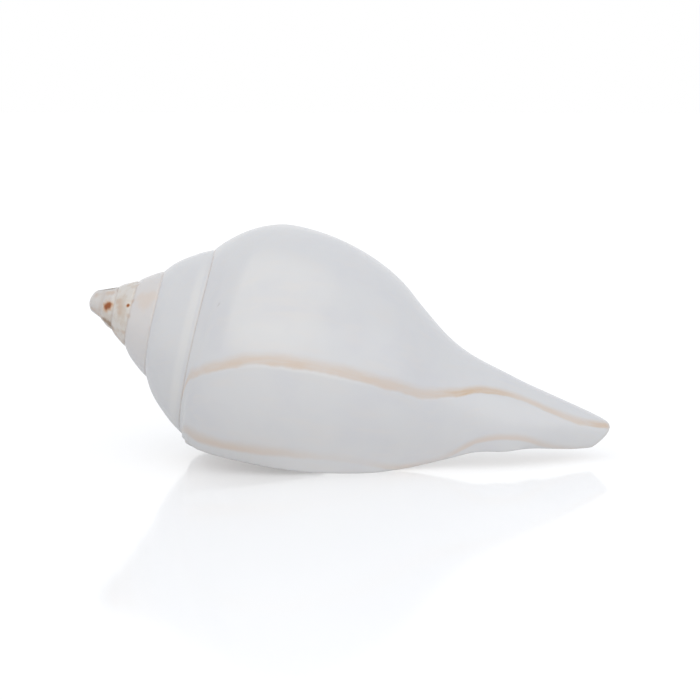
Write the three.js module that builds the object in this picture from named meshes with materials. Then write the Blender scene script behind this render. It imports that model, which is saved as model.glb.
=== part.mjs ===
// A chank shell, the sacred conch, lying on its aperture. Millimetres, Z up, floor at Z = 0.
// The shell is one grown piece. It is modelled in its own frame, where the coiling axis is X,
// the spire's vertex is at X = 0 and the siphonal canal points to +X, and is then laid down.
import * as THREE from 'three';

// Driving dimensions of the growth. A station is one point of the whorl's profile.
// lip: [x, radius] at the last suture point's angle; before: the same one turn earlier;
// edge: the angle about the axis at which the outer lip ends, in degrees, 0 towards -Y.
const STATIONS = [
  { lip: [36.1, 26.8], before: [23.4, 15.4], edge: -98 }, // suture
  { lip: [36.4, 26.7], before: [26.7, 19.8], edge: -74 },
  { lip: [36.8, 28.1], before: [32.1, 24.3], edge: -60 }, // shoulder
  { lip: [41.0, 30.9], before: [36.1, 26.8], edge: -53 }, // the last suture starts here
  { lip: [50.5, 32.3], before: [38.4, 29.0], edge: -47 }, // periphery
  { lip: [62.5, 32.1], before: [44.8, 28.8], edge: -44 },
  { lip: [73.5, 29.8], before: [53.2, 26.6], edge: -43 },
  { lip: [83.0, 26.6], before: [60.0, 22.6], edge: -43 },
  { lip: [91.7, 22.6], before: [64.5, 16.5], edge: -42.5 }, // the base contracts
  { lip: [100.1, 19.2], before: [69.5, 10.3], edge: -36.3 },
  { lip: [107.5, 17.1], before: [76.0, 6.4], edge: -28 }, // canal
  { lip: [120.0, 14.4], before: [86.0, 4.0], edge: -25 },
  { lip: [129.8, 9.3], before: [101.0, 2.7], edge: -28.5 },
  { lip: [134.9, 4.7], before: [117.5, 3.1], edge: -36.5 }, // canal tip
];
const SUTURE_STATION = 3;
const GROWTH_SLOWING = 1.6; // below the suture the last turn widened fast at first, then slower
const SLOWING_STATIONS = [2, 6];
const VERTEX_X = -0.6;
const APEX_X = 3.45;
const SPIRE_TURNS = 4.5;
const WORN_APEX_RADIUS = 0.3;
const DOME_RINGS = [[4.5, 2.45], [4.0, 1.95], [3.6, 1.1]]; // [x, radius]
const DOME_STEP = 2;

// The first whorls grew slower than the later ones, and are flatter.
const EARLY_SHIFT = 1.5;
const EARLY_RISE = 0.85;
const EARLY_FLATTENING = 0.5;
const EARLY_TURNS = [1.6, 2.6];

// Thickness of the wall. It grows behind the lip, thins again deep inside and towards the canal.
const LIP_WALL = 3.0;
const FRONT_WALL = 5.3;
const BACK_WALL = 3.0;
const TIP_WALL = 1.2;
const FRONT_WALL_TURNS = [0, 0.12]; // turns behind the lip
const BACK_WALL_TURNS = [0.3, 0.5];
const TIP_WALL_STATION = 8;
const LIP_ROUNDING = 0.4;
const SHARP_LIP_STATIONS = [0, 1.5]; // the lip's edge starts sharp at the suture

// The hollow, in turns back from the lip, and the columella and channel on its inner side.
const HOLLOW_TURNS = 0.85;
const HOLLOW_TURNS_AT_TIP = 0.34;
const SHORTER_FROM = 6;
const HOLLOW_INNER_STATION = 4.5;
const SQUEEZED_TO = 6.5; // below this station the inner side's rows match the outer side's
const PILLAR_STATIONS = [5, 9.5]; // the earlier whorl passes into the straight columella here
const CHANNEL_STATION = 10;
const CHANNEL_TURNS = 0.15;
const CHANNEL_RADIUS = 0.8;
const CHANNEL_END_STATION = 11;

// Folds that wind round the columella inside the aperture, at these stations.
const FOLD_STATIONS = [7.75, 8.5, 9.25];
const FOLD_HEIGHT = 1.3;
const FOLD_HALF_WIDTH = 0.22;
const FOLD_RISE_TURNS = [0.9, 1.02];

// The shell isn't quite symmetric about its axis.
const AXIS_LEAN = 0.05;
const CANAL_BEND = 1.0;
const CANAL_BEND_START = 82;
const CANAL_BEND_LENGTH = 48;
const CANAL_BEND_POWER = 1.6;
const END_SLANT = 1.0;
const END_SLANT_START = 108;
const END_SLANT_LENGTH = 16;

// How it lies: turned about its own axis by the edge angles above, then pitched down.
const REST_PITCH = 15.4;
const REST_ROLL = 1.2;

// Mesh density: rows of points along the profile, closer where the folds are.
const STEPS_PER_TURN = 48;
const HOLLOW_STEPS = 16;
const COARSE_ROWS = 2;
const FINE_ROWS = 4;
const FINE_FROM = 7;
const FINE_TO = 10;

const DEG = Math.PI / 180;
const LAST = STATIONS.length - 1;
const EDGE_START = STATIONS[0].edge;
const ROW_STATIONS = [0];
while (ROW_STATIONS[ROW_STATIONS.length - 1] < LAST) {
  const station = ROW_STATIONS[ROW_STATIONS.length - 1];
  const fine = station >= FINE_FROM && station < FINE_TO;
  ROW_STATIONS.push(station + 1 / (fine ? FINE_ROWS : COARSE_ROWS));
}
const SUTURE_ROW = ROW_STATIONS.indexOf(SUTURE_STATION);

const lerp = (a, b, f) => a + (b - a) * f;
const smooth = (a, b, v) => {
  const f = Math.min(1, Math.max(0, (v - a) / (b - a)));
  return f * f * (3 - 2 * f);
};

// A smooth curve through the stations' values, at a fractional station u.
function alongStations(pick, u) {
  const at = (i) => {
    if (i < 0) return 2 * pick(STATIONS[0]) - pick(STATIONS[1]);
    if (i > LAST) return 2 * pick(STATIONS[LAST]) - pick(STATIONS[LAST - 1]);
    return pick(STATIONS[i]);
  };
  const i = Math.min(Math.floor(u), LAST - 1);
  const f = u - i;
  const [a, b, c, d] = [at(i - 1), at(i), at(i + 1), at(i + 2)];
  const slope = c - a;
  const bend = 2 * a - 5 * b + 4 * c - d;
  const twist = 3 * b - a - 3 * c + d;
  return 0.5 * (2 * b + slope * f + bend * f * f + twist * f * f * f);
}

const lipX = (u) => alongStations((s) => s.lip[0], u);
const lipR = (u) => alongStations((s) => s.lip[1], u);
const beforeX = (u) => alongStations((s) => s.before[0], u);
const beforeR = (u) => alongStations((s) => s.before[1], u);
const edgeTurn = (u) => (alongStations((s) => s.edge, u) - EDGE_START) / 360;

// Outer surface as [x, radius], s turns back from the lip's suture end.
function outerProfile(s, u) {
  const grown = s ** lerp(1, GROWTH_SLOWING, smooth(...SLOWING_STATIONS, u));
  const x0 = lipX(u) - VERTEX_X;
  const x1 = beforeX(u) - VERTEX_X;
  const x = VERTEX_X + x0 * (x1 / x0) ** grown;
  const r = lipR(u) * (beforeR(u) / lipR(u)) ** grown;
  return [x, r + foldRise(s, u)];
}

// The columella's folds rise just before the aperture and wind on inside.
function foldRise(s, u) {
  let rise = 0;
  for (const station of FOLD_STATIONS) {
    rise += Math.exp(-(((u - station) / FOLD_HALF_WIDTH) ** 2));
  }
  return FOLD_HEIGHT * rise * smooth(...FOLD_RISE_TURNS, s);
}

function suture(s) {
  const [x, r] = outerProfile(s, 0);
  const early = smooth(...EARLY_TURNS, s);
  const worn = WORN_APEX_RADIUS * smooth(1, SPIRE_TURNS, s);
  return [x + EARLY_SHIFT * early, r + EARLY_RISE * early + worn];
}

// A spire whorl repeats the last whorl's exposed profile between its two sutures, v from 0 to 1.
function spireProfile(s, v) {
  const start = outerProfile(1, 0);
  const end = outerProfile(1, SUTURE_STATION);
  const here = outerProfile(1, v * SUTURE_STATION);
  const chord = [end[0] - start[0], end[1] - start[1]];
  const size = chord[0] ** 2 + chord[1] ** 2;
  const rel = [here[0] - start[0], here[1] - start[1]];
  const along = (rel[0] * chord[0] + rel[1] * chord[1]) / size;
  const flattened = lerp(1, EARLY_FLATTENING, smooth(...EARLY_TURNS, s));
  const out = (flattened * (rel[1] * chord[0] - rel[0] * chord[1])) / size;
  const low = suture(s);
  const high = suture(s - 1);
  const span = [high[0] - low[0], high[1] - low[1]];
  return [low[0] + span[0] * along - span[1] * out, low[1] + span[1] * along + span[0] * out];
}

// The hollow's inner side: the earlier whorl and the columella, s from 0 at the aperture inwards.
function innerProfile(s, u) {
  const [x, r] = outerProfile(1, u);
  const pillar = smooth(...PILLAR_STATIONS, u);
  const [sutureX, sutureR] = outerProfile(1, 0);
  const shrinkX = lerp((sutureX - VERTEX_X) / (lipX(0) - VERTEX_X), 1, pillar) ** s;
  const shrinkR = lerp(sutureR / lipR(0), 1, pillar) ** s;
  const channel = smooth(CHANNEL_STATION, LAST, u) * smooth(0, CHANNEL_TURNS, s);
  const reach = smooth(CHANNEL_END_STATION, LAST, u) * smooth(0, HOLLOW_TURNS_AT_TIP, s);
  return [
    lerp(VERTEX_X + (x - VERTEX_X) * shrinkX, outerProfile(s, u)[0], reach),
    lerp(r * shrinkR + foldRise(1 + s, u) - foldRise(1, u), CHANNEL_RADIUS, channel),
  ];
}

// From the shell's own profile to a point, with its small skew and bends.
function place([x, r], s) {
  const angle = (EDGE_START + 360 * s) * DEG;
  const y = -r * Math.cos(angle);
  const up = r * Math.sin(angle);
  const past = Math.max(0, (x - CANAL_BEND_START) / CANAL_BEND_LENGTH);
  const slant = END_SLANT * smooth(END_SLANT_START, END_SLANT_START + END_SLANT_LENGTH, x);
  const bend = CANAL_BEND * past ** CANAL_BEND_POWER;
  return new THREE.Vector3(x + (AXIS_LEAN + slant) * up, y, up + bend);
}

const outerPoint = (s, u) => place(outerProfile(s, u), s);

function outerNormal(s, u) {
  const step = 0.01;
  const low = Math.max(0, u - step);
  const high = Math.min(LAST, u + step);
  const along = outerPoint(s, high).sub(outerPoint(s, low));
  const round = outerPoint(s + step, u).sub(outerPoint(s - step, u));
  return along.cross(round).normalize();
}

function wallThickness(s, u) {
  const inside = s - edgeTurn(u);
  const behindLip = lerp(LIP_WALL, FRONT_WALL, smooth(...FRONT_WALL_TURNS, inside));
  const deep = lerp(behindLip, BACK_WALL, smooth(...BACK_WALL_TURNS, inside));
  return lerp(deep, TIP_WALL, smooth(TIP_WALL_STATION, LAST, u));
}

const hollowTurns = (u) => lerp(HOLLOW_TURNS, HOLLOW_TURNS_AT_TIP, smooth(SHORTER_FROM, LAST, u));

// The hollow's outer side lies one wall inside the shell's outer surface.
function hollowOuterPoint(s, u) {
  return outerPoint(s, u).addScaledVector(outerNormal(s, u), -wallThickness(s, u));
}

const hollowInnerPoint = (s, u) => place(innerProfile(s, u), s);

class Skin {
  constructor() {
    this.points = [];
    this.faces = [];
  }

  add(point) {
    this.points.push(point);
    return this.points.length - 1;
  }

  face(a, b, c) {
    if (a !== b && b !== c && c !== a) this.faces.push(a, b, c);
  }

  // Fills between two lines of points that run the same way, always along the shorter diagonal.
  bridge(left, right) {
    const gap = (a, b) => this.points[a].distanceTo(this.points[b]);
    let i = 0;
    let j = 0;
    while (i < left.length - 1 || j < right.length - 1) {
      const leftDone = i === left.length - 1;
      const rightDone = j === right.length - 1;
      const leftShorter = () => gap(left[i + 1], right[j]) <= gap(left[i], right[j + 1]);
      const stepLeft = rightDone || (!leftDone && leftShorter());
      if (stepLeft) {
        this.face(left[i], left[i + 1], right[j]);
        i += 1;
      } else {
        this.face(left[i], right[j + 1], right[j]);
        j += 1;
      }
    }
  }

  bridgeAll(lines) {
    for (let i = 1; i < lines.length; i += 1) this.bridge(lines[i - 1], lines[i]);
  }
}

// Body whorl: one line of points per step, from the outer lip back one turn.
function bodyWhorl(skin) {
  const lines = [];
  for (let step = 0; step <= STEPS_PER_TURN; step += 1) {
    lines.push(
      ROW_STATIONS.map((u) => skin.add(outerPoint(lerp(edgeTurn(u), 1, step / STEPS_PER_TURN), u))),
    );
  }
  // The last suture starts where the lip's end meets the earlier whorl.
  lines[STEPS_PER_TURN][SUTURE_ROW] = lines[0][0];
  skin.bridgeAll(lines);
  return lines;
}

// Spire: goes on from the body whorl's exposed part, each whorl sharing the last one's suture.
function spire(skin, body) {
  const sutureLine = body.map((line) => line[0]);
  const steps = Math.round(SPIRE_TURNS * STEPS_PER_TURN);
  let previous = body[STEPS_PER_TURN].slice(0, SUTURE_ROW + 1);
  for (let step = STEPS_PER_TURN + 1; step <= steps; step += 1) {
    const s = step / STEPS_PER_TURN;
    const line = [];
    for (let row = 0; row < SUTURE_ROW; row += 1) {
      line.push(skin.add(place(spireProfile(s, row / SUTURE_ROW), s)));
    }
    line.push(sutureLine[step - STEPS_PER_TURN]);
    sutureLine.push(line[0]);
    skin.bridge(previous, line);
    previous = line;
  }
  return sutureLine.slice(steps - STEPS_PER_TURN).concat(previous.slice(1, -1));
}

// Worn round dome over the first whorls, on the loop of points that the spire leaves open.
function apexDome(skin, rim) {
  let outer = rim;
  for (const [x, r] of DOME_RINGS) {
    const inner = [];
    for (let step = 0; step < STEPS_PER_TURN; step += DOME_STEP) {
      inner.push(skin.add(place([x, r], SPIRE_TURNS + step / STEPS_PER_TURN)));
    }
    skin.bridge([...outer, outer[0]], [...inner, inner[0]]);
    outer = inner;
  }
  const tip = skin.add(place([APEX_X, 0], 0));
  outer.forEach((index, i) => skin.face(index, outer[(i + 1) % outer.length], tip));
}

// Where the lip's inner side meets the earlier whorl, from the suture to the hollow's upper edge.
function cornerStation(u) {
  return lerp(SUTURE_STATION, HOLLOW_INNER_STATION, edgeTurn(u) / edgeTurn(SUTURE_STATION));
}

// A line along the earlier whorl and the columella, with as many points as the body whorl below
// its suture. It starts at station `from`, and turn(u) says how far in each of its points lies.
function innerLine(skin, from, turn) {
  return ROW_STATIONS.slice(SUTURE_ROW).map((u) => {
    const f = Math.min(1, (u - SUTURE_STATION) / (SQUEEZED_TO - SUTURE_STATION));
    const station = u < SQUEEZED_TO ? lerp(from, SQUEEZED_TO, f) : u;
    return skin.add(hollowInnerPoint(turn(u), station));
  });
}

// The hollow goes in along the outer wall and comes back along the columella.
function hollow(skin, body) {
  const deepTurn = (u) => edgeTurn(u) + hollowTurns(u);
  const comingBack = [];
  for (let step = 0; step <= HOLLOW_STEPS; step += 1) {
    const turn = (u) => lerp(deepTurn(u), edgeTurn(SUTURE_STATION), step / HOLLOW_STEPS);
    comingBack.push(innerLine(skin, HOLLOW_INNER_STATION, turn));
  }
  const goingIn = [];
  for (let step = 0; step <= HOLLOW_STEPS; step += 1) {
    const line = ROW_STATIONS.slice(SUTURE_ROW + 1).map((u) =>
      skin.add(hollowOuterPoint(lerp(edgeTurn(u), deepTurn(u), step / HOLLOW_STEPS), u)),
    );
    goingIn.push([comingBack[HOLLOW_STEPS - step][0], ...line]);
  }

  // The earlier whorl shows on from the hollow's mouth to where the body whorl ends on it.
  const shown = ROW_STATIONS.slice(1, SUTURE_ROW).map((u) =>
    innerLine(skin, cornerStation(u), () => edgeTurn(u)),
  );
  const earlierWhorl = [body[STEPS_PER_TURN].slice(SUTURE_ROW), ...shown, comingBack[HOLLOW_STEPS]];
  const innerLip = earlierWhorl.slice(0, -1).map((line) => line[0]).concat(goingIn[0]);
  const roundedLip = lipRounding(skin, body, innerLip);
  skin.bridgeAll([...goingIn].reverse());
  skin.bridgeAll([innerLip, roundedLip, body[0]]);
  skin.bridge(comingBack[0], goingIn[HOLLOW_STEPS]);
  skin.bridgeAll([...comingBack].reverse());
  skin.bridgeAll(earlierWhorl);
  canalEnd(skin, body, [roundedLip, ...goingIn], [...comingBack, ...shown.reverse()]);
}

// The lip's edge stands forward between its outer and inner lines.
function lipRounding(skin, body, innerLip) {
  return body[0].map((outerIndex, row) => {
    if (row === 0) return outerIndex;
    const outer = skin.points[outerIndex];
    const inner = skin.points[innerLip[row]];
    const forward = outer.clone().sub(skin.points[body[1][row]]).normalize();
    const rounding = LIP_ROUNDING * smooth(...SHARP_LIP_STATIONS, ROW_STATIONS[row]);
    const reach = rounding * outer.distanceTo(inner);
    return skin.add(outer.clone().lerp(inner, 0.5).addScaledVector(forward, reach));
  });
}

// Face at the canal's end, between the outer surface and the channel.
function canalEnd(skin, body, goingIn, comingBack) {
  const end = (line) => line[line.length - 1];
  const outer = body.map(end);
  const inward = goingIn.map(end);
  const outward = [inward[inward.length - 1], ...comingBack.map(end)];
  const turn = Math.round((hollowTurns(LAST) / (1 - edgeTurn(LAST))) * STEPS_PER_TURN);
  skin.bridge(inward, outer.slice(0, turn + 1));
  skin.bridge(outward, outer.slice(turn));
}

function shellMesh() {
  const skin = new Skin();
  const body = bodyWhorl(skin);
  apexDome(skin, spire(skin, body));
  hollow(skin, body);
  const geometry = new THREE.BufferGeometry().setFromPoints(skin.points);
  geometry.setIndex(skin.faces);
  geometry.rotateX(REST_ROLL * DEG);
  geometry.rotateY(REST_PITCH * DEG);
  geometry.computeBoundingBox();
  const { min, max } = geometry.boundingBox;
  geometry.translate(-(min.x + max.x) / 2, -(min.y + max.y) / 2, -min.z);
  geometry.computeVertexNormals();
  const material = new THREE.MeshStandardMaterial({ color: 0xe9e8ea, roughness: 0.35, metalness: 0 });
  const mesh = new THREE.Mesh(geometry, material);
  mesh.name = 'shell';
  return mesh;
}

const chank = new THREE.Group();
chank.name = 'chank_shell';
chank.add(shellMesh());

export default chank;
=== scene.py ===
import math

import bpy
import numpy as np
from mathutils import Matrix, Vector, noise


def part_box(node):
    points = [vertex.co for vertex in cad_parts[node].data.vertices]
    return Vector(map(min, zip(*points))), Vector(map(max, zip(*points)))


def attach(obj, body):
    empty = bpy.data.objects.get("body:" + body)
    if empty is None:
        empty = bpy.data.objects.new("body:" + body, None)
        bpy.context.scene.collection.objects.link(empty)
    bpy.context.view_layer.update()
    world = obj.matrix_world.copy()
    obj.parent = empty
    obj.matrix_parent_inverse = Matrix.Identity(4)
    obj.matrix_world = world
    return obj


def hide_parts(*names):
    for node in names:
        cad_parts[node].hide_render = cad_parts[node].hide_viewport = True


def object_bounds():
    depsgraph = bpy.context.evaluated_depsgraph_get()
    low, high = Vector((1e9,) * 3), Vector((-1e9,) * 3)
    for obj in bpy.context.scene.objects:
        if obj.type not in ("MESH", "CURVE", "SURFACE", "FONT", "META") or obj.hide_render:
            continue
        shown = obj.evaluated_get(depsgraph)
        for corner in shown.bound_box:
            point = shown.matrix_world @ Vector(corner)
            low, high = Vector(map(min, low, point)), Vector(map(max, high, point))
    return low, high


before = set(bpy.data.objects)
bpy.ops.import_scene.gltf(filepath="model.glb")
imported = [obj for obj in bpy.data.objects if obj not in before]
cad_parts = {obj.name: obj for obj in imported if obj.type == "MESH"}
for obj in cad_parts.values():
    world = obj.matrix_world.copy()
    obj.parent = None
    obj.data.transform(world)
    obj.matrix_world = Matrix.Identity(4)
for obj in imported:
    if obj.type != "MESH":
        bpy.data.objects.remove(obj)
SOLID_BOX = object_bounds()

# Growth. A station is one point of the whorl's profile. Its values are x and radius at the lip,
# x and radius one turn earlier, and the angle about the axis at which the outer lip ends.
STATIONS = np.array([
    (36.1, 26.8, 23.4, 15.4, -98),  # suture
    (36.4, 26.7, 26.7, 19.8, -74),
    (36.8, 28.1, 32.1, 24.3, -60),  # shoulder
    (41.0, 30.9, 36.1, 26.8, -53),  # the last suture starts here
    (50.5, 32.3, 38.4, 29.0, -47),  # periphery
    (62.5, 32.1, 44.8, 28.8, -44),
    (73.5, 29.8, 53.2, 26.6, -43),
    (83.0, 26.6, 60.0, 22.6, -43),
    (91.7, 22.6, 64.5, 16.5, -42.5),  # the base contracts
    (100.1, 19.2, 69.5, 10.3, -36.3),
    (107.5, 17.1, 76.0, 6.4, -28),  # canal
    (120.0, 14.4, 86.0, 4.0, -25),
    (129.8, 9.3, 101.0, 2.7, -28.5),
    (134.9, 4.7, 117.5, 3.1, -36.5),  # canal tip
])
LIP_X, LIP_R, BEFORE_X, BEFORE_R, EDGE = range(5)
LAST = len(STATIONS) - 1
SUTURE_STATION = 3
GROWTH_SLOWING = 1.6  # below the suture the last turn widened fast at first, then slower
SLOWING_STATIONS = (2, 6)
VERTEX_X = -0.6
APEX_X = 3.45
SPIRE_TURNS = 4.5
WORN_APEX_RADIUS = 0.3
DOME_X = 4.0
DOME_RADIUS = 1.95
DOME_POWER = 2.4
DOME_REACH = 1.35
SPIRE_ENDING = 0.15  # turns over which the first whorl flattens into the dome

# The first whorls grew slower than the later ones, and are flatter.
EARLY_SHIFT = 1.5
EARLY_RISE = 0.85
EARLY_FLATTENING = 0.5
EARLY_TURNS = (1.6, 2.6)

# Thickness of the wall, turns behind the lip over which it changes, and the lip's rounded edge.
LIP_WALL = 3.0
FRONT_WALL = 5.3
BACK_WALL = 3.0
TIP_WALL = 1.2
FRONT_WALL_TURNS = (0, 0.12)
BACK_WALL_TURNS = (0.3, 0.5)
TIP_WALL_STATION = 8
LIP_ROUNDING = 0.4
SHARP_LIP_STATIONS = (0, 1.5)

# The hollow, in turns back from the lip, and the columella and channel on its inner side.
HOLLOW_TURNS = 0.85
HOLLOW_TURNS_AT_TIP = 0.34
SHORTER_FROM = 6
HOLLOW_INNER_STATION = 4.5
HOLLOW_TINT_RISE = (0, 0.15)
HOLLOW_TINT_POWER = 3
LIP_TINT = 0.5
SQUEEZED_TO = 6.5
PILLAR_STATIONS = (5, 9.5)
CHANNEL_STATION = 10
CHANNEL_TURNS = 0.15
CHANNEL_RADIUS = 0.8
CHANNEL_END_STATION = 11

# Folds that wind round the columella inside the aperture, at these stations.
FOLD_STATIONS = (7.75, 8.5, 9.25)
FOLD_HEIGHT = 1.3
FOLD_HALF_WIDTH = 0.22
FOLD_RISE_TURNS = (0.9, 1.02)

# The shell isn't quite symmetric about its axis, and lies turned and pitched down.
AXIS_LEAN = 0.05
CANAL_BEND = 1.0
CANAL_BEND_START = 82
CANAL_BEND_LENGTH = 48
CANAL_BEND_POWER = 1.6
END_SLANT = 1.0
END_SLANT_RANGE = (108, 124)
REST_PITCH = math.radians(15.4)
REST_ROLL = math.radians(1.2)

# Fine relief, in millimetres: suture groove, step at the old lip line, worn apex, canal's rim.
GROOVE_DEPTH = 0.16
GROOVE_HALF_WIDTH = 0.4
STEP_HEIGHT = 0.07
STEP_BEFORE_LINE = 1.5
STEP_HALF_WIDTH = 0.25
STEP_FADE = 7.0
WEAR_DEPTH = 0.14
WEAR_SIZE = 1.6
WEAR_TURNS = (2.6, 4.0)
WEAR_SEED = 18
UNDULATION = 0.03
UNDULATION_TURNS = 0.035
UNDULATIONS_PER_STATION = 0.4
RIM_STATIONS = 0.09
RIM_ROUNDING = 0.15

# Old lip lines, as turns behind the present lip at each station, and their width and strength.
# Strengths and warmth run from 0 to 1, and widths are shares of the bands' ranges further below.
FIRST_LINE = {0: 0.19, 0.8: 0.174, 1.8: 0.142, 2.8: 0.143, 4: 0.149, 5.5: 0.15, 8: 0.1485, 9: 0.149,
              9.8: 0.1525, 10.5: 0.163, 10.8: 0.1625, 11.4: 0.149, 11.7: 0.148, 12.2: 0.17,
              12.7: 0.225, 13: 0.262}
SECOND_LINE = {0: 0.036, 2.5: 0.033, 3.5: 0.025, 4.2: 0.026, 5: 0.032, 6.2: 0.031, 6.9: 0.021,
               7.6: 0.003, 8.7: 0.002, 9.2: 0.0135, 10.4: 0.04, 10.8: 0.0425, 11.4: 0.024, 12: 0.004,
               13: 0.0}
FIRST_WIDTH = {0: 1.2, 3: 1.0, 8: 0.95, 9.6: 0.6, 11.2: 0.6, 13: 0.85}
SECOND_WIDTH = {0: 1.5, 3.5: 1.6, 5.6: 1.2, 8: 0.9, 10: 0.65, 13: 0.65}
FIRST_STRENGTH = {0: 0.8, 3: 0.85, 4.4: 1.0, 5.8: 0.9, 8.2: 0.7, 9.2: 1.0, 10.2: 0.8, 10.8: 0.6,
                  11.2: 0.6, 11.7: 1.0, 13: 1.0}
SECOND_STRENGTH = {0: 0.3, 1.8: 0.55, 3.8: 0.85, 5: 0.5, 5.6: 0.2, 6.8: 0.15, 7.7: 0.6, 8.7: 0.15,
                   9.3: 0.7, 10.8: 0.72, 11.4: 0.5, 13: 0.2}
NECK_WARMTH = {8.2: 0, 9.2: 1.0, 10.2: 0.8, 11: 0.3, 13: 0.2}
TABLE_SOFTENING = 0.25

# Density of the skin: rows along the profile and lines of points round the axis.
WHORL_ROWS = 28
ROWS_PER_STATION = 8
ROW_CROWDING = 0.75
RIM_ROWS = 5
FRONT_LINES = 46
BACK_LINES = 204
FRONT_CROWDING = 1.5
BACK_CROWDING = 1.3
HOLLOW_LINES = 64
LIP_LINES = 8
DOME_RINGS = 10
DOME_SIDES = 60
NORMAL_STEP = 0.01
SUTURE_START_TURNS = (1.0, 1.04)  # the last suture's distance fades in here
MM_PER_METRE = 1000

# Marks on the early whorls, and the painted shade of two small pits that the surface has no dent for:
# x, y, z and radius, in millimetres in the shared frame.
BROWN_SPOTS = ((-58.2, -4.1, 37.6, 1.05), (-58.8, -4.0, 37.3, 0.95), (-52.9, -6.5, 38.0, 0.45))
TAN_STREAKS = (
    (-55.3, -5.0, 38.6, 0.9), (-54.9, -5.8, 37.4, 0.9), (-55.1, -6.0, 36.2, 0.7),
    (-58.4, -1.7, 40.3, 0.9), (-57.4, -2.0, 40.4, 0.8),
    (-51.6, -6.3, 38.9, 0.6), (-52.6, -7.5, 35.6, 0.6), (-51.0, -2.5, 42.5, 0.5),
    (-61.2, -1.1, 39.8, 0.8), (-60.9, -1.9, 38.9, 0.8), (-60.8, -2.3, 37.8, 0.7),
    (-61.0, -2.2, 36.8, 0.8), (-61.2, -1.8, 36.0, 0.8),
    (-62.5, -1.2, 36.3, 0.6), (-61.8, -1.2, 35.6, 0.7), (-61.0, -1.3, 34.9, 0.7),
    (-60.2, -2.0, 34.4, 0.7), (-56.5, -3.2, 30.4, 0.7), (-55.7, -3.3, 29.3, 0.7),
    (-55.0, -3.0, 28.3, 0.6), (-54.4, -6.3, 31.4, 0.6),
)
PINK_PATCHES = ((-48.4, -8.8, 39.6, 2.2), (-47.2, -8.8, 40.3, 1.8), (-49.8, -8.0, 40.5, 1.6))
# Grey-brown patches along the lower-left edge of the apex.
GREY_PATCHES = ((-59.3, -2.6, 33.8, 0.8), (-58.5, -3.0, 33.0, 1.0), (-57.7, -3.0, 32.1, 0.9))
# Painted shade: grey spots for two small pits, where the surface has no dent.
SHADED_PITS = ((-23.6, -7.1, 54.5, 0.35), (-29.1, -23.3, 40.9, 0.35))


def lerp(a, b, f):
    return a + (b - a) * f


def smooth(a, b, v):
    f = np.clip((v - a) / (b - a), 0.0, 1.0)
    return f * f * (3 - 2 * f)


def table(values, u):
    """A value given at some stations, read at stations u and softened a little."""
    shifts = (-TABLE_SOFTENING, 0.0, TABLE_SOFTENING)
    return sum(np.interp(u + shift, list(values), list(values.values())) for shift in shifts) / 3


def along_stations(column, u):
    """A smooth curve through the stations' values, at fractional stations u."""
    values = STATIONS[:, column]
    before = 2 * values[0] - values[1]
    after = 2 * values[-1] - values[-2]
    values = np.concatenate([[before], values, [after]])
    i = np.clip(np.floor(u).astype(int), 0, LAST - 1)
    f = u - i
    a, b, c, d = (values[i + k] for k in range(4))
    bend = 2 * a - 5 * b + 4 * c - d
    twist = 3 * b - a - 3 * c + d
    return 0.5 * (2 * b + (c - a) * f + bend * f**2 + twist * f**3)


def edge_turn(u):
    """Turns back from the lip's suture end at which the lip's edge lies."""
    return (along_stations(EDGE, u) - STATIONS[0, EDGE]) / 360


def fold_rise(s, u):
    """The columella's folds rise just before the aperture and wind on inside."""
    rise = sum(np.exp(-(((u - station) / FOLD_HALF_WIDTH) ** 2)) for station in FOLD_STATIONS)
    return FOLD_HEIGHT * rise * smooth(*FOLD_RISE_TURNS, s)


def outer_profile(s, u):
    """x and radius of the outer surface, s turns back from the lip's suture end."""
    s, u = np.broadcast_arrays(np.asarray(s, float), np.asarray(u, float))
    grown = s ** lerp(1, GROWTH_SLOWING, smooth(*SLOWING_STATIONS, u))
    x0 = along_stations(LIP_X, u) - VERTEX_X
    x1 = along_stations(BEFORE_X, u) - VERTEX_X
    r0 = along_stations(LIP_R, u)
    r1 = along_stations(BEFORE_R, u)
    return VERTEX_X + x0 * (x1 / x0) ** grown, r0 * (r1 / r0) ** grown + fold_rise(s, u)


def suture(s):
    x, r = outer_profile(s, 0.0)
    early = smooth(*EARLY_TURNS, s)
    wear = WORN_APEX_RADIUS * smooth(1, SPIRE_TURNS, s)
    return np.array([x + EARLY_SHIFT * early, r + EARLY_RISE * early + wear])


def spire_profile(s, v):
    """The last whorl's exposed profile, repeated between two sutures, v from 0 to 1."""
    start = np.array(outer_profile(1.0, 0.0))
    chord = np.array(outer_profile(1.0, float(SUTURE_STATION))) - start
    here = np.array(outer_profile(1.0, v * SUTURE_STATION)) - start[:, None]
    size = chord @ chord
    along = (here[0] * chord[0] + here[1] * chord[1]) / size
    out = (here[1] * chord[0] - here[0] * chord[1]) / size
    out = out * lerp(1, EARLY_FLATTENING, smooth(*EARLY_TURNS, s))
    low = suture(s)
    span = suture(s - 1) - low
    x = low[0] + span[0] * along - span[1] * out
    r = low[1] + span[1] * along + span[0] * out
    return x, r


def inner_profile(s, u):
    """The earlier whorl and the columella inside the hollow, s from 0 at the aperture inwards."""
    x, r = outer_profile(1.0, u)
    pillar = smooth(*PILLAR_STATIONS, u)
    suture_x, suture_r = outer_profile(1.0, 0.0)
    shrink_x = lerp((suture_x - VERTEX_X) / (STATIONS[0, LIP_X] - VERTEX_X), 1, pillar) ** s
    shrink_r = lerp(suture_r / STATIONS[0, LIP_R], 1, pillar) ** s
    channel = smooth(CHANNEL_STATION, LAST, u) * smooth(0, CHANNEL_TURNS, s)
    reach = smooth(CHANNEL_END_STATION, LAST, u) * smooth(0, HOLLOW_TURNS_AT_TIP, s)
    grown_r = r * shrink_r + fold_rise(1 + s, u) - fold_rise(1.0, u)
    grown_x = lerp(VERTEX_X + (x - VERTEX_X) * shrink_x, outer_profile(s, u)[0], reach)
    return grown_x, lerp(grown_r, CHANNEL_RADIUS, channel)


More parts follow.
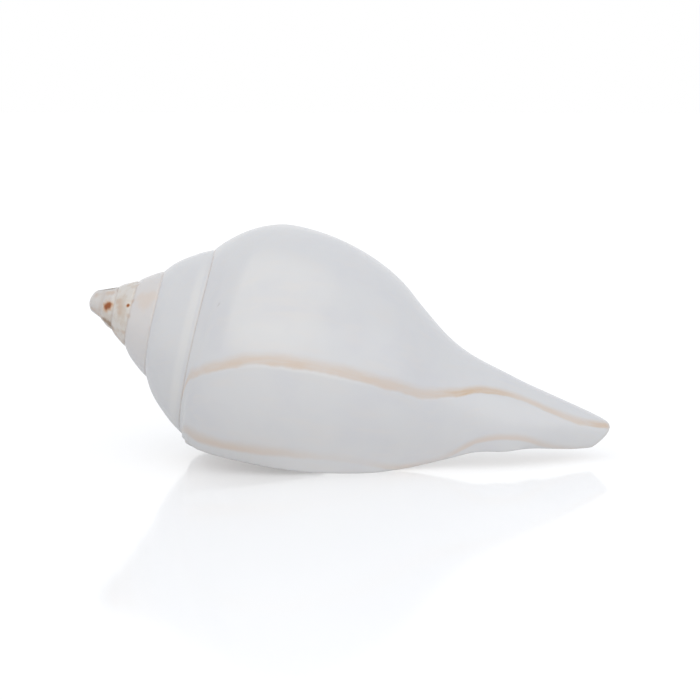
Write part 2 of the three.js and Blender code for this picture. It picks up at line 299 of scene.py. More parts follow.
def place(profile, s):
    """From the shell's own profile to points, with its small skew and bends."""
    x, r = profile
    angle = np.radians(STATIONS[0, EDGE] + 360 * s)
    y = -r * np.cos(angle)
    up = r * np.sin(angle)
    past = np.maximum(0, (x - CANAL_BEND_START) / CANAL_BEND_LENGTH)
    slant = END_SLANT * smooth(*END_SLANT_RANGE, x)
    bend = CANAL_BEND * past**CANAL_BEND_POWER
    return np.stack(np.broadcast_arrays(x + (AXIS_LEAN + slant) * up, y, up + bend), axis=-1)


def outer_normal(s, u):
    step = NORMAL_STEP
    low = np.maximum(0, u - step)
    high = np.minimum(LAST, u + step)
    along = place(outer_profile(s, high), s) - place(outer_profile(s, low), s)
    ahead = place(outer_profile(s + step, u), s + step)
    behind = place(outer_profile(np.maximum(0, s - step), u), s - step)
    normal = np.cross(along, ahead - behind)
    return normal / np.linalg.norm(normal, axis=-1, keepdims=True)


def wall_thickness(s, u):
    inside = s - edge_turn(u)
    behind_lip = lerp(LIP_WALL, FRONT_WALL, smooth(*FRONT_WALL_TURNS, inside))
    deep = lerp(behind_lip, BACK_WALL, smooth(*BACK_WALL_TURNS, inside))
    return lerp(deep, TIP_WALL, smooth(TIP_WALL_STATION, LAST, u))


def hollow_turns(u):
    return lerp(HOLLOW_TURNS, HOLLOW_TURNS_AT_TIP, smooth(SHORTER_FROM, LAST, u))


def hollow_outer_point(s, u):
    wall = wall_thickness(s, u)[..., None]
    return place(outer_profile(s, u), s) - outer_normal(s, u) * wall


def line_distance(line, s, u):
    """Millimetres from an old lip line, positive on its older side."""
    turns = s - edge_turn(u) - table(line, u)
    return turns * 2 * math.pi * outer_profile(s, u)[1]


def old_lip_step(s, u):
    """The shell grown after the old lip stands a little proud of it, and levels out."""
    distance = line_distance(FIRST_LINE, s, u) + STEP_BEFORE_LINE * table(FIRST_WIDTH, u)
    younger = smooth(STEP_HALF_WIDTH, -STEP_HALF_WIDTH, distance)
    return STEP_HEIGHT * younger * np.exp(np.minimum(0, distance) / STEP_FADE)


def undulation(s, u):
    """Faint waves along the lines of growth."""
    behind = (s - edge_turn(u)) / UNDULATION_TURNS
    along = u * UNDULATIONS_PER_STATION
    waves = [noise.noise((a, b, 0)) for a, b in zip(behind.ravel(), along.ravel())]
    return UNDULATION * np.reshape(waves, behind.shape)


def groove(distance):
    return GROOVE_DEPTH * np.exp(-((distance / GROOVE_HALF_WIDTH) ** 2))


def rim_inset(u):
    """How far the canal's rounded rim draws in towards its end."""
    depth = np.clip((u - LAST + RIM_STATIONS) / RIM_STATIONS, 0, 1)
    return RIM_ROUNDING * (1 - np.sqrt(1 - depth**2))


def crowded(f):
    """Even steps from 0 to 1, drawn closer at both ends."""
    return f - ROW_CROWDING * np.sin(2 * math.pi * f) / (2 * math.pi)


def row_stations():
    """Stations of the rows of points, closer at the sutures and on the canal's rim."""
    exposed = SUTURE_STATION * crowded(np.linspace(0, 1, WHORL_ROWS + 1))
    step = 1 / ROWS_PER_STATION
    below = np.arange(SUTURE_STATION + step, LAST - RIM_STATIONS, step)
    turn = np.linspace(0, math.pi / 2, RIM_ROWS + 1)
    rim = LAST - RIM_STATIONS * (1 - np.sin(turn))
    return np.concatenate([exposed, below, rim])


ROWS = row_stations()
SUTURE_ROW = WHORL_ROWS


def body_turns():
    """Turn of each point of the body whorl: lines that follow the lip, closer at the old lip line."""
    front = 1 - (1 - np.linspace(0, 1, FRONT_LINES + 1)) ** FRONT_CROWDING
    back = np.linspace(0, 1, BACK_LINES + 1)[1:] ** BACK_CROWDING
    edge = edge_turn(ROWS)
    line = table(FIRST_LINE, ROWS)
    ahead = edge + front[:, None] * line
    behind = edge + line + back[:, None] * (1 - edge - line)
    return np.concatenate([ahead, behind])


class Skin:
    """Points and faces of a closed surface, and at each face corner the growth there:
    turn, station, and how far inside the hollow, from 0 to 1."""

    def __init__(self):
        self.points = np.zeros((0, 3))
        self.growth = np.zeros((0, 3))
        self.faces = []
        self.corners = []

    def add(self, points, turn, station, inside=0.0):
        """Adds points and returns their numbers, in the same arrangement."""
        growth = np.stack(np.broadcast_arrays(turn, station, inside, points[..., 0])[:3], axis=-1)
        first = len(self.points)
        self.points = np.concatenate([self.points, points.reshape(-1, 3)])
        self.growth = np.concatenate([self.growth, growth.reshape(-1, 3)])
        return first + np.arange(points[..., 0].size).reshape(points.shape[:-1])

    def face(self, corners, growth):
        kept = [k for k in range(len(corners)) if corners[k] != corners[k - 1]]
        if len(kept) > 2:
            self.faces.append([int(corners[k]) for k in kept])
            self.corners.extend(growth[k] for k in kept)

    def sheet(self, lines, growth=None):
        """Faces between neighbouring lines that have as many points each."""
        growth = self.growth[lines] if growth is None else growth
        for a in range(len(lines) - 1):
            for i in range(lines.shape[1] - 1):
                at = ((a, i), (a, i + 1), (a + 1, i + 1), (a + 1, i))
                self.face([lines[k] for k in at], [growth[k] for k in at])

    def bridge(self, left, right):
        """Faces between two lines with their own numbers of points, along the shorter diagonal."""
        i = 0
        j = 0
        while i < len(left) - 1 or j < len(right) - 1:
            step_left = j == len(right) - 1
            if not step_left and i < len(left) - 1:
                step_left = self.gap(left[i + 1], right[j]) <= self.gap(left[i], right[j + 1])
            if step_left:
                corners = [left[i], left[i + 1], right[j]]
                i += 1
            else:
                corners = [left[i], right[j + 1], right[j]]
                j += 1
            self.face(corners, self.growth[corners])

    def gap(self, a, b):
        return np.linalg.norm(self.points[a] - self.points[b])


def body_whorl(skin):
    """The last turn, in lines that run back from the outer lip to one turn earlier."""
    turns = body_turns()
    u = np.broadcast_to(ROWS, turns.shape)
    x, r = outer_profile(turns, u)
    from_suture = (u / SUTURE_STATION) * (x[:, SUTURE_ROW] - x[:, 0])[:, None]
    r = r + old_lip_step(turns, u) + undulation(turns, u) - groove(from_suture) - rim_inset(u)
    lines = skin.add(place((x, r), turns), turns, u)
    lines[-1, SUTURE_ROW] = lines[0, 0]
    growth = np.stack([turns, u, np.zeros_like(u)], axis=-1)
    skin.sheet(lines, growth)
    return lines, turns[:, 0]


def whorl_width(s):
    return np.linalg.norm(suture(s - 1) - suture(s), axis=0)


def worn(points, turn):
    """Wears the apex unevenly."""
    amount = WEAR_DEPTH * smooth(*WEAR_TURNS, turn)
    hills = [noise.noise_vector(point / WEAR_SIZE) for point in points.reshape(-1, 3)]
    return points + np.reshape(hills, points.shape) * np.reshape(amount, (-1, 1))


def spire(skin, body, first_turns):
    """Goes on from the body whorl's exposed part, each whorl sharing the last one's suture."""
    sutures = list(body[:, 0])
    turns = [s + n for n in range(1, math.ceil(SPIRE_TURNS)) for s in first_turns[1:]]
    turns = [s for s in turns if s <= SPIRE_TURNS]
    v = ROWS[: SUTURE_ROW + 1] / SUTURE_STATION
    lines = [body[-1, : SUTURE_ROW + 1]]
    for step, s in enumerate(turns):
        flat = smooth(SPIRE_TURNS - SPIRE_ENDING, SPIRE_TURNS, s)
        chord = lerp(suture(s)[:, None], suture(s - 1)[:, None], v[:-1])
        x, r = lerp(np.array(spire_profile(s, v[:-1])), chord, flat)
        nearest = np.minimum(v[:-1], 1 - v[:-1]) * whorl_width(s)
        points = worn(place((x, r - groove(nearest) * (1 - flat)), s), s)
        line = skin.add(points, s, v[:-1] * SUTURE_STATION)
        lines.append(np.append(line, sutures[step + 1]))
        sutures.append(line[0])
    lines = np.array(lines)
    turns = np.concatenate([[1.0], turns])
    growth = np.stack(np.broadcast_arrays(turns[:, None], v * SUTURE_STATION, 0.0), axis=-1)
    skin.sheet(lines, growth)
    return sutures[len(turns) - 1 :] + list(lines[-1][1:-1])


def apex_dome(skin, rim):
    """Worn round dome over the first whorls, on the loop of points that the spire leaves open."""
    outer = rim
    around = SPIRE_TURNS + np.arange(DOME_SIDES) / DOME_SIDES
    for size in np.linspace(DOME_REACH, 0, DOME_RINGS + 1)[:-1]:
        x = lerp(APEX_X, DOME_X, size**DOME_POWER)
        ring = worn(place((np.full(DOME_SIDES, x), DOME_RADIUS * size), around), around)
        inner = list(skin.add(ring, SPIRE_TURNS, SUTURE_STATION / 2))
        skin.bridge([*outer, outer[0]], [*inner, inner[0]])
        outer = inner
    tip = worn(place((np.array([APEX_X]), 0.0), np.zeros(1)), SPIRE_TURNS)
    top = skin.add(tip, SPIRE_TURNS, SUTURE_STATION / 2)[0]
    for i, index in enumerate(outer):
        corners = [index, outer[(i + 1) % len(outer)], top]
        skin.face(corners, skin.growth[corners])


def corner_station(u):
    """Where the lip's inner side meets the earlier whorl."""
    return lerp(SUTURE_STATION, HOLLOW_INNER_STATION, edge_turn(u) / edge_turn(SUTURE_STATION))


def inner_line(skin, start, turn, inside):
    """A line along the earlier whorl and the columella, from station start."""
    u = ROWS[SUTURE_ROW:]
    f = np.minimum(1, (u - SUTURE_STATION) / (SQUEEZED_TO - SUTURE_STATION))
    station = np.where(u < SQUEEZED_TO, lerp(start, SQUEEZED_TO, f), u)
    return skin.add(place(inner_profile(turn, station), turn), 1 + turn, station, inside)


def hollow(skin, body):
    """The hollow goes in along the outer wall and comes back along the columella."""
    u = ROWS[SUTURE_ROW:]
    edge = edge_turn(u)
    deep = edge + hollow_turns(u)
    mouth = np.full_like(u, edge_turn(float(SUTURE_STATION)))
    steps = np.linspace(0, 1, HOLLOW_LINES + 1)
    back = []
    for f in steps:
        tint = 1 - f**HOLLOW_TINT_POWER
        back.append(inner_line(skin, HOLLOW_INNER_STATION, lerp(deep, mouth, f), tint))
    inwards = []
    for f, meeting in zip(steps, reversed(back)):
        turns = lerp(edge, deep, f)[1:]
        tint = smooth(*HOLLOW_TINT_RISE, f)
        line = skin.add(hollow_outer_point(turns, u[1:]), turns, u[1:], tint)
        inwards.append(np.append(meeting[0], line))
    shown = []
    for row in ROWS[1:SUTURE_ROW]:
        turn = np.full_like(u, edge_turn(row))
        shown.append(inner_line(skin, corner_station(row), turn, 0.0))
    earlier = np.array([body[-1, SUTURE_ROW:], *shown, back[-1]])
    inner_lip = np.append(earlier[:-1, 0], inwards[0])
    lip = lip_rounding(skin, body, inner_lip)
    skin.sheet(np.array(inwards[::-1]))
    skin.sheet(np.array([inner_lip, *lip[::-1], body[0]]))
    skin.sheet(np.array([back[0], inwards[-1]]))
    skin.sheet(np.array(back[::-1]))
    skin.sheet(earlier)
    canal_end(skin, body, [*lip, *inwards], [*back, *shown[::-1]])


def lip_rounding(skin, body, inner_lip):
    """Lines over the lip's rounded edge, from its outer side to its inner side."""
    outer = skin.points[body[0]]
    inner = skin.points[inner_lip]
    forward = outer - skin.points[body[1]]
    forward /= np.linalg.norm(forward, axis=1, keepdims=True)
    rounding = LIP_ROUNDING * smooth(*SHARP_LIP_STATIONS, ROWS)[:, None]
    reach = rounding * np.linalg.norm(outer - inner, axis=1, keepdims=True)
    lines = []
    for angle in np.linspace(0, math.pi, LIP_LINES + 1)[1:-1]:
        across = (1 - math.cos(angle)) / 2
        points = lerp(outer, inner, across) + forward * reach * math.sin(angle)
        line = skin.add(points, edge_turn(ROWS), ROWS, LIP_TINT * across)
        line[0] = body[0, 0]
        lines.append(line)
    return lines


def canal_end(skin, body, going_in, coming_back):
    """Face at the canal's end, between the outer surface and the channel."""
    outer = body[:, -1]
    behind = body_turns()[:, -1] - edge_turn(float(LAST))
    turn = int(np.searchsorted(behind, hollow_turns(float(LAST))))
    inward = [line[-1] for line in going_in]
    outward = [inward[-1], *(line[-1] for line in coming_back)]
    skin.bridge(inward, outer[: turn + 1])
    skin.bridge(outward, outer[turn:])


def rotated(a, b, angle):
    """Two coordinates after a turn from the first axis towards the second."""
    return a * math.cos(angle) - b * math.sin(angle), a * math.sin(angle) + b * math.cos(angle)


def laid_down(points):
    """Rolls and pitches the shell onto its aperture and fits it to the solid's box."""
    x, y, z = points.T
    y, z = rotated(y, z, REST_ROLL)
    z, x = rotated(z, x, REST_PITCH)
    turned = np.stack([x, y, z], axis=-1)
    low, high = (np.array(corner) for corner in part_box("shell"))
    share = (turned - turned.min(0)) / (turned.max(0) - turned.min(0))
    return low + share * (high - low)


def suture_distance(turn, u):
    """Millimetres to the nearest suture on the outside."""
    width = whorl_width(np.maximum(turn, 1.0))
    v = u / SUTURE_STATION
    before_start = 1 - smooth(*SUTURE_START_TURNS, turn)
    later = np.where(turn < 1, 1, np.clip(1 - v, 0, 1) + before_start)
    return np.minimum(v, later) * width


def mark_strength(points, marks):
    """1 at a mark's centre and 0.5 at its radius, for the nearest mark; points in metres."""
    strengths = []
    for *centre, radius in marks:
        distance = np.linalg.norm(points * MM_PER_METRE - np.array(centre), axis=1)
        strengths.append(0.5 ** ((distance / radius) ** 2))
    return np.max(strengths, axis=0)


def add_attribute(mesh, name, domain, values):
    attribute = mesh.attributes.new(name, "FLOAT_VECTOR", domain)
    attribute.data.foreach_set("vector", np.asarray(values, np.float32).ravel())


def shell_skin():
    noise.seed_set(WEAR_SEED)
    skin = Skin()
    body, first_turns = body_whorl(skin)
    apex_dome(skin, spire(skin, body, first_turns))
    hollow(skin, body)
    points = laid_down(skin.points)
    mesh = bpy.data.meshes.new("shell_skin")
    mesh.from_pydata(points.tolist(), [], skin.faces)
    turn, u, inside = np.array(skin.corners).T
    behind = turn - edge_turn(u)
    first = line_distance(FIRST_LINE, turn, u) / table(FIRST_WIDTH, u)
    second = line_distance(SECOND_LINE, turn, u) / table(SECOND_WIDTH, u)
    add_attribute(mesh, "growth", "CORNER", np.stack([behind, u, inside], axis=-1))
    marks = [first, second, suture_distance(turn, u)]
    add_attribute(mesh, "marks", "CORNER", np.stack(marks, axis=-1))
    strengths = [table(values, u) for values in (FIRST_STRENGTH, SECOND_STRENGTH, NECK_WARMTH)]
    add_attribute(mesh, "bands", "CORNER", np.stack(strengths, axis=-1))
    stains = [mark_strength(points, group) for group in (BROWN_SPOTS, TAN_STREAKS, PINK_PATCHES)]
    add_attribute(mesh, "stains", "POINT", np.stack(stains, axis=-1))
    grey_and_pit_shade = [mark_strength(points, group) for group in (GREY_PATCHES, SHADED_PITS)]
    add_attribute(mesh, "grey_and_pit_shade", "POINT", np.stack([*grey_and_pit_shade, np.zeros(len(points))], axis=-1))
    mesh.shade_smooth()
    shell = bpy.data.objects.new("shell_skin", mesh)
    bpy.context.collection.objects.link(shell)
    return shell


# Light that reaches a side facing the camera, where white paper is 1.
LIGHT_ON_SHELL = 0.94


def seen(red, green, blue):
    """Base colour that reads as this sRGB colour in the scene's light."""
    channels = [value / 255 for value in (red, green, blue)]
    linear = [v / 12.92 if v <= 0.04045 else ((v + 0.055) / 1.055) ** 2.4 for v in channels]
    return (*(v / LIGHT_ON_SHELL for v in linear), 1.0)


WHITE = seen(212, 212, 213)
CLOUD = seen(208, 208, 211)
STRIA = seen(214, 212, 211)
BAND = seen(211, 195, 181)
BAND_AT_NECK = seen(202, 173, 140)
SECOND_BAND = seen(210, 195, 183)
# Painted highlight: a paler white that stands for light gleaming off the polish.
PAINTED_HIGHLIGHT = seen(222, 221, 219)
SUTURE_TAN = seen(186, 170, 160)
SUTURE_BROWN = seen(150, 124, 108)
WHORL_CREAM = seen(214, 209, 206)
CREAM = seen(213, 208, 202)
DEEP_CREAM = seen(204, 194, 183)
APEX_WHITE = seen(207, 203, 200)
BROWN = seen(145, 74, 18)
HALO = seen(202, 160, 118)
TAN = seen(196, 172, 152)
PINK = seen(215, 200, 188)
GREY_BROWN = seen(142, 112, 84)
# Painted shade inside the two small pits.
PIT_SHADE = seen(170, 162, 156)
RIM = seen(209, 205, 200)
INSIDE = seen(222, 206, 192)


class Tree:
    """A material's nodes, with a short call for each kind that the shell needs."""

    def __init__(self, material):
        material.use_nodes = True
        self.nodes = material.node_tree.nodes
        self.links = material.node_tree.links
        self.shader = self.nodes["Principled BSDF"]

    def put(self, socket, value):
        if isinstance(value, bpy.types.NodeSocket):
            self.links.new(value, socket)
        else:
            socket.default_value = value

    def maths(self, operation, first, second=0.0):
        node = self.nodes.new("ShaderNodeMath")
        node.operation = operation
        self.put(node.inputs[0], first)
        self.put(node.inputs[1], second)
        return node.outputs[0]

    def remap(self, value, low, high, to_low=0.0, to_high=1.0):
        node = self.nodes.new("ShaderNodeMapRange")
        node.interpolation_type = "SMOOTHSTEP"
        for socket, number in zip(node.inputs, (value, low, high, to_low, to_high)):
            self.put(socket, number)
        return node.outputs[0]

    def mix(self, factor, first, second):
        node = self.nodes.new("ShaderNodeMix")
        node.data_type = "RGBA"
        self.put(node.inputs[0], factor)
        self.put(node.inputs[6], first)
        self.put(node.inputs[7], second)
        return node.outputs[2]

    def noise(self, vector, scale, detail=2.0):
        node = self.nodes.new("ShaderNodeTexNoise")
        self.put(node.inputs["Vector"], vector)
        self.put(node.inputs["Scale"], scale)
        self.put(node.inputs["Detail"], detail)
        return node.outputs[0]

    def attribute(self, name):
        """The three values of one of the skin's attributes."""
        node = self.nodes.new("ShaderNodeAttribute")
        node.attribute_name = name
        parts = self.nodes.new("ShaderNodeSeparateXYZ")
        self.links.new(node.outputs["Vector"], parts.inputs[0])
        return parts.outputs

    def vector(self, x, y, z):
        node = self.nodes.new("ShaderNodeCombineXYZ")
        for socket, value in zip(node.inputs, (x, y, z)):
            self.put(socket, value)
        return node.outputs[0]

    def position(self):
        """Object coordinates, in millimetres."""
        node = self.nodes.new("ShaderNodeTexCoord")
        scaled = self.nodes.new("ShaderNodeVectorMath")
        scaled.operation = "SCALE"
        self.links.new(node.outputs["Object"], scaled.inputs[0])
        scaled.inputs["Scale"].default_value = MM_PER_METRE
        return scaled.outputs[0]

    def between(self, value, rise, fall):
        """1 between two ranges of the value: it comes in over the first, and goes over the other."""
        return self.maths("MULTIPLY", self.remap(value, *rise), self.remap(value, *fall))

    def bump(self, height, distance):
        node = self.nodes.new("ShaderNodeBump")
        node.inputs["Distance"].default_value = distance
        self.put(node.inputs["Height"], height)
        return node.outputs[0]


# Texture of the ground. A scale is in features per millimetre. A range gives where an effect
# starts and is full and, where they aren't 0 and 1, its values there.
CLOUD_SCALE = 0.09
CLOUD_RANGE = (0.4, 0.7, 0.0, 0.7)
STRIAE_PER_TURN = 70
STRIA_RANGE = (0.45, 0.75, 0.0, 0.6)
STRIA_HEIGHT = 0.000008
GLOSS_SCALE = 0.3
ROUGHNESS_RANGE = (0.3, 0.7, 0.18, 0.24)
SHELL_IOR = 1.53
SUBSURFACE_SHARE = 0.12
SUBSURFACE_RADIUS = (1.0, 0.8, 0.65)
SUBSURFACE_SCALE = 0.0015

# Whorls, in turns behind the lip, and the patches on them.
THIRD_WHORL_RANGE = (1.7, 2.3, 0.0, 0.8)
FIRST_WHORLS_RANGE = (2.6, 3.1)
APEX_RANGE = (4.0, 4.3, 0.0, 0.8)
PATCH_SCALE = 0.45
PATCH_RANGE = (0.4, 0.66)
# Painted highlight: a pale band beside the last suture on the whorl before it, across the stations
# and along the turns.
HIGHLIGHT_BAND_STATIONS = ((1.9, 2.4), (2.85, 2.5))
HIGHLIGHT_BAND_TURNS = ((0.88, 0.98), (1.4, 1.25))
HIGHLIGHT_BAND_RANGE = (0.0, 1.0, 0.0, 0.5)
RIM_RANGE = (12.85, 12.98, 0.0, 0.7)

# Old lip lines, across their own width in millimetres, and how uneven they are.
FIRST_BAND_SIDES = ((-1.8, -0.8), (2.5, -0.3))
SECOND_BAND_SIDES = ((-1.5, -0.4), (2.3, -0.2))
# Painted highlight along the first line's younger edge: where it shows across the line, and over
# which stations.
PAINTED_HIGHLIGHT_SIDES = ((-2.5, -1.8), (-1.2, -1.7))
PAINTED_HIGHLIGHT_STATIONS = ((3.6, 4.6), (6.6, 5.4, 0.0, 0.4))
WOBBLE_SCALE = 0.2
WOBBLE_WIDTH = 1.4
STREAK_SCALE = 0.1
STREAK_RANGE = (0.3, 0.6, 0.7, 1.0)
GRAIN_SCALE = 1.3
GRAIN_PER_STATION = 1.5
GRAIN_RANGE = (0.3, 0.6, 0.75, 1.0)

# Sutures: millimetres from the line, and turns behind the lip.
SUTURE_LINE_RANGE = (0.7, 0.1)
SUTURE_HALO_RANGE = (2.4, 0.3, 0.0, 0.3)
SUTURE_NOISE_SCALE = 0.5
SUTURE_NOISE_RANGE = (0.3, 0.7, 0.6, 1.0)
SUTURE_NEAR_LIP = (0.27, 0.15)
SUTURE_EARLIER = (0.95, 0.8, 0.3, 0.75)

# Marks, from the lowest layer up: the range of strengths over which each shows, and its colour.
RAGGED_SCALE = 0.9
RAGGED_EDGE = 0.6
MARK_REACH = (0.0, 0.15)
MARK_LAYERS = (
    ("pink", (0.1, 0.9, 0.0, 0.6), PINK),
    ("tan", (0.1, 1.0, 0.0, 0.6), TAN),
    ("grey", (0.1, 0.9, 0.0, 0.75), GREY_BROWN),
    ("brown", (0.05, 0.6, 0.0, 0.75), HALO),
    ("brown", (0.3, 0.85, 0.0, 1.0), BROWN),
    # Painted shade of the two pits, a faint grey.
    ("pit_shade", (0.2, 0.8, 0.0, 0.3), PIT_SHADE),
)


def white_ground(tree, where, behind, station):
    """Polished white with faint clouds and growth striae, and the striae's noise for the relief."""
    cloud = tree.remap(tree.noise(where, CLOUD_SCALE, 3.0), *CLOUD_RANGE)
    along_growth = tree.vector(tree.maths("MULTIPLY", behind, STRIAE_PER_TURN), station, 0.0)
    striae = tree.noise(along_growth, 1.0, 2.0)
    ground = tree.mix(cloud, WHITE, CLOUD)
    return tree.mix(tree.remap(striae, *STRIA_RANGE), ground, STRIA), striae


def early_whorls(tree, where, behind, colour):
    """The third whorl is a little creamy, the first ones are cream with darker patches."""
    colour = tree.mix(tree.remap(behind, *THIRD_WHORL_RANGE), colour, WHORL_CREAM)
    patches = tree.remap(tree.noise(where, PATCH_SCALE, 3.0), *PATCH_RANGE)
    cream = tree.mix(patches, CREAM, DEEP_CREAM)
    cream = tree.mix(tree.remap(behind, *APEX_RANGE), cream, APEX_WHITE)
    return tree.mix(tree.remap(behind, *FIRST_WHORLS_RANGE), colour, cream)


def painted_highlight_band(tree, behind, station, colour):
    """Painted highlight: a paler band beside the last suture, on the whorl before it."""
    across = tree.between(station, *HIGHLIGHT_BAND_STATIONS)
    along = tree.between(behind, *HIGHLIGHT_BAND_TURNS)
    strength = tree.remap(tree.maths("MULTIPLY", across, along), *HIGHLIGHT_BAND_RANGE)
    return tree.mix(strength, colour, PAINTED_HIGHLIGHT)


def band_streaks(tree, where, station, distance):
    """Strength of the first line's streaks, along it and across it."""
    streaks = tree.remap(tree.noise(where, STREAK_SCALE, 4.0), *STREAK_RANGE)
    along = tree.maths("MULTIPLY", station, GRAIN_PER_STATION)
    grain = tree.noise(tree.vector(distance, along, 0.0), GRAIN_SCALE, 2.0)
    return tree.maths("MULTIPLY", streaks, tree.remap(grain, *GRAIN_RANGE))


def old_lip_lines(tree, where, station, first, second, colour):
    """Tan bands, sharper on the younger side, and more orange at the neck, with a painted highlight
    along the first band's younger edge.
    """
    uneven = tree.maths("SUBTRACT", tree.noise(where, WOBBLE_SCALE, 3.0), 0.5)
    wobble = tree.maths("MULTIPLY", uneven, WOBBLE_WIDTH)
    streaks = band_streaks(tree, where, station, first)
    first_strength, second_strength, neck = tree.attribute("bands")
    first = tree.maths("ADD", first, wobble)
    # Painted highlight: a thin pale line just on the younger side of the first band.
    painted_highlight = tree.between(first, *PAINTED_HIGHLIGHT_SIDES)
    painted_highlight = tree.maths("MULTIPLY", painted_highlight, tree.between(station, *PAINTED_HIGHLIGHT_STATIONS))
    colour = tree.mix(painted_highlight, colour, PAINTED_HIGHLIGHT)
    streaks = tree.maths("MULTIPLY", streaks, first_strength)
    band = tree.maths("MULTIPLY", tree.between(first, *FIRST_BAND_SIDES), streaks)
    colour = tree.mix(band, colour, tree.mix(neck, BAND, BAND_AT_NECK))
    second = tree.maths("ADD", second, wobble)
    band = tree.between(second, *SECOND_BAND_SIDES)
    return tree.mix(tree.maths("MULTIPLY", band, second_strength), colour, SECOND_BAND)


def sutures(tree, where, behind, to_suture, colour):
    """A thin uneven tan line, fainter on the early whorls. Near the lip it's brown, with a halo."""
    uneven = tree.remap(tree.noise(where, SUTURE_NOISE_SCALE, 3.0), *SUTURE_NOISE_RANGE)
    near_lip = tree.remap(behind, *SUTURE_NEAR_LIP)
    line = tree.maths("MULTIPLY", tree.remap(to_suture, *SUTURE_LINE_RANGE), uneven)
    halo = tree.maths("MULTIPLY", tree.remap(to_suture, *SUTURE_HALO_RANGE), uneven)
    earlier = tree.remap(behind, *SUTURE_EARLIER)
    strength = tree.maths("MULTIPLY", line, tree.maths("MAXIMUM", near_lip, earlier))
    strength = tree.maths("MAXIMUM", strength, tree.maths("MULTIPLY", halo, near_lip))
    return tree.mix(strength, colour, tree.mix(near_lip, SUTURE_TAN, SUTURE_BROWN))


def marks_and_pit_shade(tree, where, colour):
    """Brown, tan, pink and grey marks and the painted shade of two pits, broken up at their edges."""
    brown, tan, pink = tree.attribute("stains")
    grey, pit_shade, _ = tree.attribute("grey_and_pit_shade")
    strengths = {"brown": brown, "tan": tan, "pink": pink, "grey": grey, "pit_shade": pit_shade}
    uneven = tree.maths("SUBTRACT", tree.noise(where, RAGGED_SCALE, 3.0), 0.5)
    ragged = tree.maths("MULTIPLY", uneven, RAGGED_EDGE)
    for name, shown, paint in MARK_LAYERS:
        inside = tree.remap(strengths[name], *MARK_REACH)
        spread = tree.remap(tree.maths("ADD", strengths[name], ragged), *shown)
        colour = tree.mix(tree.maths("MULTIPLY", spread, inside), colour, paint)
    return colour


def shell_material():
    material = bpy.data.materials.new("polished_chank")
    tree = Tree(material)
    where = tree.position()
    behind, station, inside = tree.attribute("growth")
    first, second, to_suture = tree.attribute("marks")
    colour, striae = white_ground(tree, where, behind, station)
    colour = early_whorls(tree, where, behind, colour)
    colour = painted_highlight_band(tree, behind, station, colour)
    colour = old_lip_lines(tree, where, station, first, second, colour)
    colour = sutures(tree, where, behind, to_suture, colour)
    colour = marks_and_pit_shade(tree, where, colour)
    colour = tree.mix(tree.remap(station, *RIM_RANGE), colour, RIM)
    colour = tree.mix(inside, colour, INSIDE)
    gloss = tree.noise(where, GLOSS_SCALE, 3.0)
    shader = tree.shader
    tree.put(shader.inputs["Base Color"], colour)
    tree.put(shader.inputs["Roughness"], tree.remap(gloss, *ROUGHNESS_RANGE))
    tree.put(shader.inputs["Normal"], tree.bump(striae, STRIA_HEIGHT))
    shader.inputs["IOR"].default_value = SHELL_IOR
    shader.inputs["Subsurface Weight"].default_value = SUBSURFACE_SHARE
    shader.inputs["Subsurface Radius"].default_value = SUBSURFACE_RADIUS
    shader.inputs["Subsurface Scale"].default_value = SUBSURFACE_SCALE
    return material


# Stage: sizes as shares of the shell's length.
LENGTH = SOLID_BOX[1][0] - SOLID_BOX[0][0]
CENTRE = (SOLID_BOX[0] + SOLID_BOX[1]) / 2
CAMERA_AZIMUTH = math.radians(2)
CAMERA_ELEVATION = math.radians(10)
CAMERA_DISTANCE = 3.1715 * LENGTH
CAMERA_TARGET = CENTRE + Vector((0.0017, -0.0011, -0.0162)) * LENGTH
CAMERA_LENS = 85
CAMERA_SENSOR = 36
FLOOR_SIZE = 40 * LENGTH
BACKDROP_WHITE = 1.0
AMBIENT = (0.69, 0.72, 0.775)

# The floor: its own white, what the camera sees added to it, and the light that it gives to sides
# far above and close above it.
FLOOR_WHITE = 0.76
FLOOR_ROUGHNESS = 0.1
FLOOR_IOR = 1.5
FLOOR_LIFT = 0.29
FLOOR_GLOW = (0.1, 0.33)
GLOW_REACH = 0.12 * LENGTH

# Softboxes: azimuth and elevation in degrees, width and height in lengths, and radiance. The card
# only shows in the polish.
SOFTBOX_DISTANCE = 5 * LENGTH
SOFTBOXES = (
    (-22, 53, 6.0, 9.0, (0.345, 0.325, 0.28)),
    (45, 19, 4.6, 3.4, (0.50, 0.51, 0.52)),
    (0, 20, 4.6, 3.2, (0.46, 0.42, 0.37)),
)
REFLECTED_CARD = (-17, 60, 6.6, 10.8, (0.52, 0.46, 0.3))


def direction(azimuth, elevation):
    """From the object towards a camera or light; azimuth 0 is -Y."""
    level = math.cos(elevation)
    return Vector((math.sin(azimuth) * level, -math.cos(azimuth) * level, math.sin(elevation)))


def add_camera():
    data = bpy.data.cameras.new("photo_camera")
    data.lens = CAMERA_LENS
    data.sensor_width = CAMERA_SENSOR
    camera = bpy.data.objects.new("photo_camera", data)
    back = direction(CAMERA_AZIMUTH, CAMERA_ELEVATION)
    camera.location = CAMERA_TARGET + back * CAMERA_DISTANCE
    camera.rotation_euler = (-back).to_track_quat("-Z", "Y").to_euler()
    bpy.context.collection.objects.link(camera)
    bpy.context.scene.camera = camera


def add_softbox(azimuth, elevation, width, height, radiance):
    data = bpy.data.lights.new("softbox", "AREA")
    data.shape = "RECTANGLE"
    data.size = width * LENGTH
    data.size_y = height * LENGTH
    strongest = max(radiance)
    data.color = [channel / strongest for channel in radiance]
    data.energy = strongest * math.pi * data.size * data.size_y
    light = bpy.data.objects.new("softbox", data)
    back = direction(math.radians(azimuth), math.radians(elevation))
    light.location = CENTRE + back * SOFTBOX_DISTANCE
    light.rotation_euler = (-back).to_track_quat("-Z", "Y").to_euler()
    bpy.context.collection.objects.link(light)
    return light


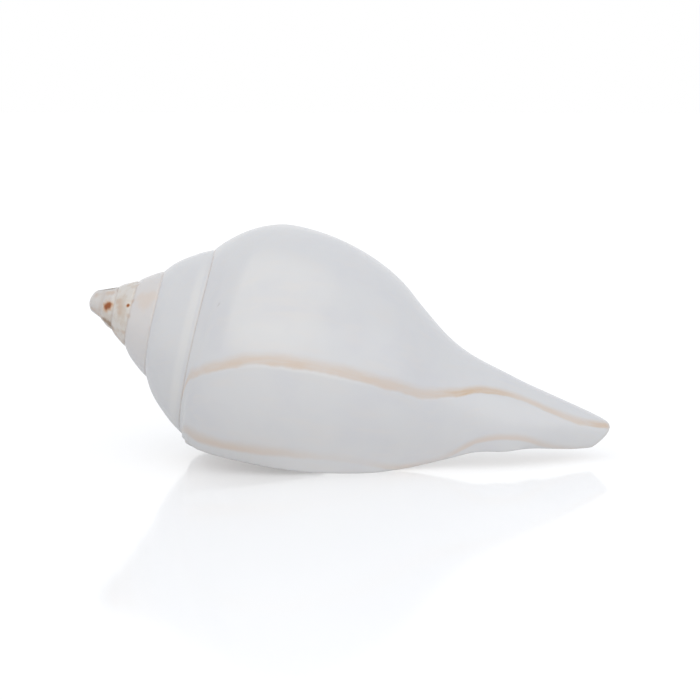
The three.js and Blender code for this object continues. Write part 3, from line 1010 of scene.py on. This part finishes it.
def add_world():
    """A white backdrop, with a slightly cooler and weaker light from all round."""
    world = bpy.data.worlds.new("white_studio")
    world.use_nodes = True
    nodes = world.node_tree.nodes
    links = world.node_tree.links
    backdrop = nodes["Background"]
    backdrop.inputs["Color"].default_value = (1, 1, 1, 1)
    backdrop.inputs["Strength"].default_value = BACKDROP_WHITE
    ambient = nodes.new("ShaderNodeBackground")
    ambient.inputs["Color"].default_value = (*AMBIENT, 1)
    path = nodes.new("ShaderNodeLightPath")
    mix = nodes.new("ShaderNodeMixShader")
    links.new(path.outputs["Is Diffuse Ray"], mix.inputs[0])
    links.new(backdrop.outputs[0], mix.inputs[1])
    links.new(ambient.outputs[0], mix.inputs[2])
    links.new(mix.outputs[0], nodes["World Output"].inputs["Surface"])
    bpy.context.scene.world = world
    bpy.context.scene.view_settings.view_transform = "Standard"


def floor_material():
    """White acrylic lit from below: white to the camera, and bright for sides close above it."""
    material = bpy.data.materials.new("white_acrylic")
    tree = Tree(material)
    path = tree.nodes.new("ShaderNodeLightPath")
    lift = tree.maths("MULTIPLY", path.outputs["Is Camera Ray"], FLOOR_LIFT)
    near = tree.remap(path.outputs["Ray Length"], GLOW_REACH, 0.0, *FLOOR_GLOW)
    glow = tree.maths("MULTIPLY", path.outputs["Is Diffuse Ray"], near)
    lift = tree.maths("ADD", lift, glow)
    tree.shader.inputs["Base Color"].default_value = (FLOOR_WHITE, FLOOR_WHITE, FLOOR_WHITE, 1)
    tree.shader.inputs["Roughness"].default_value = FLOOR_ROUGHNESS
    tree.shader.inputs["IOR"].default_value = FLOOR_IOR
    tree.shader.inputs["Emission Color"].default_value = (1, 1, 1, 1)
    tree.put(tree.shader.inputs["Emission Strength"], lift)
    return material


def add_floor():
    half = FLOOR_SIZE / 2
    corners = [(-half, -half, 0), (half, -half, 0), (half, half, 0), (-half, half, 0)]
    mesh = bpy.data.meshes.new("floor")
    mesh.from_pydata(corners, [], [(0, 1, 2, 3)])
    mesh.materials.append(floor_material())
    floor = bpy.data.objects.new("floor", mesh)
    bpy.context.collection.objects.link(floor)


add_camera()
for softbox in SOFTBOXES:
    add_softbox(*softbox)
add_softbox(*REFLECTED_CARD).visible_diffuse = False
add_world()
add_floor()
skin = shell_skin()
skin.data.materials.append(shell_material())
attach(skin, "root")
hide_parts("shell")
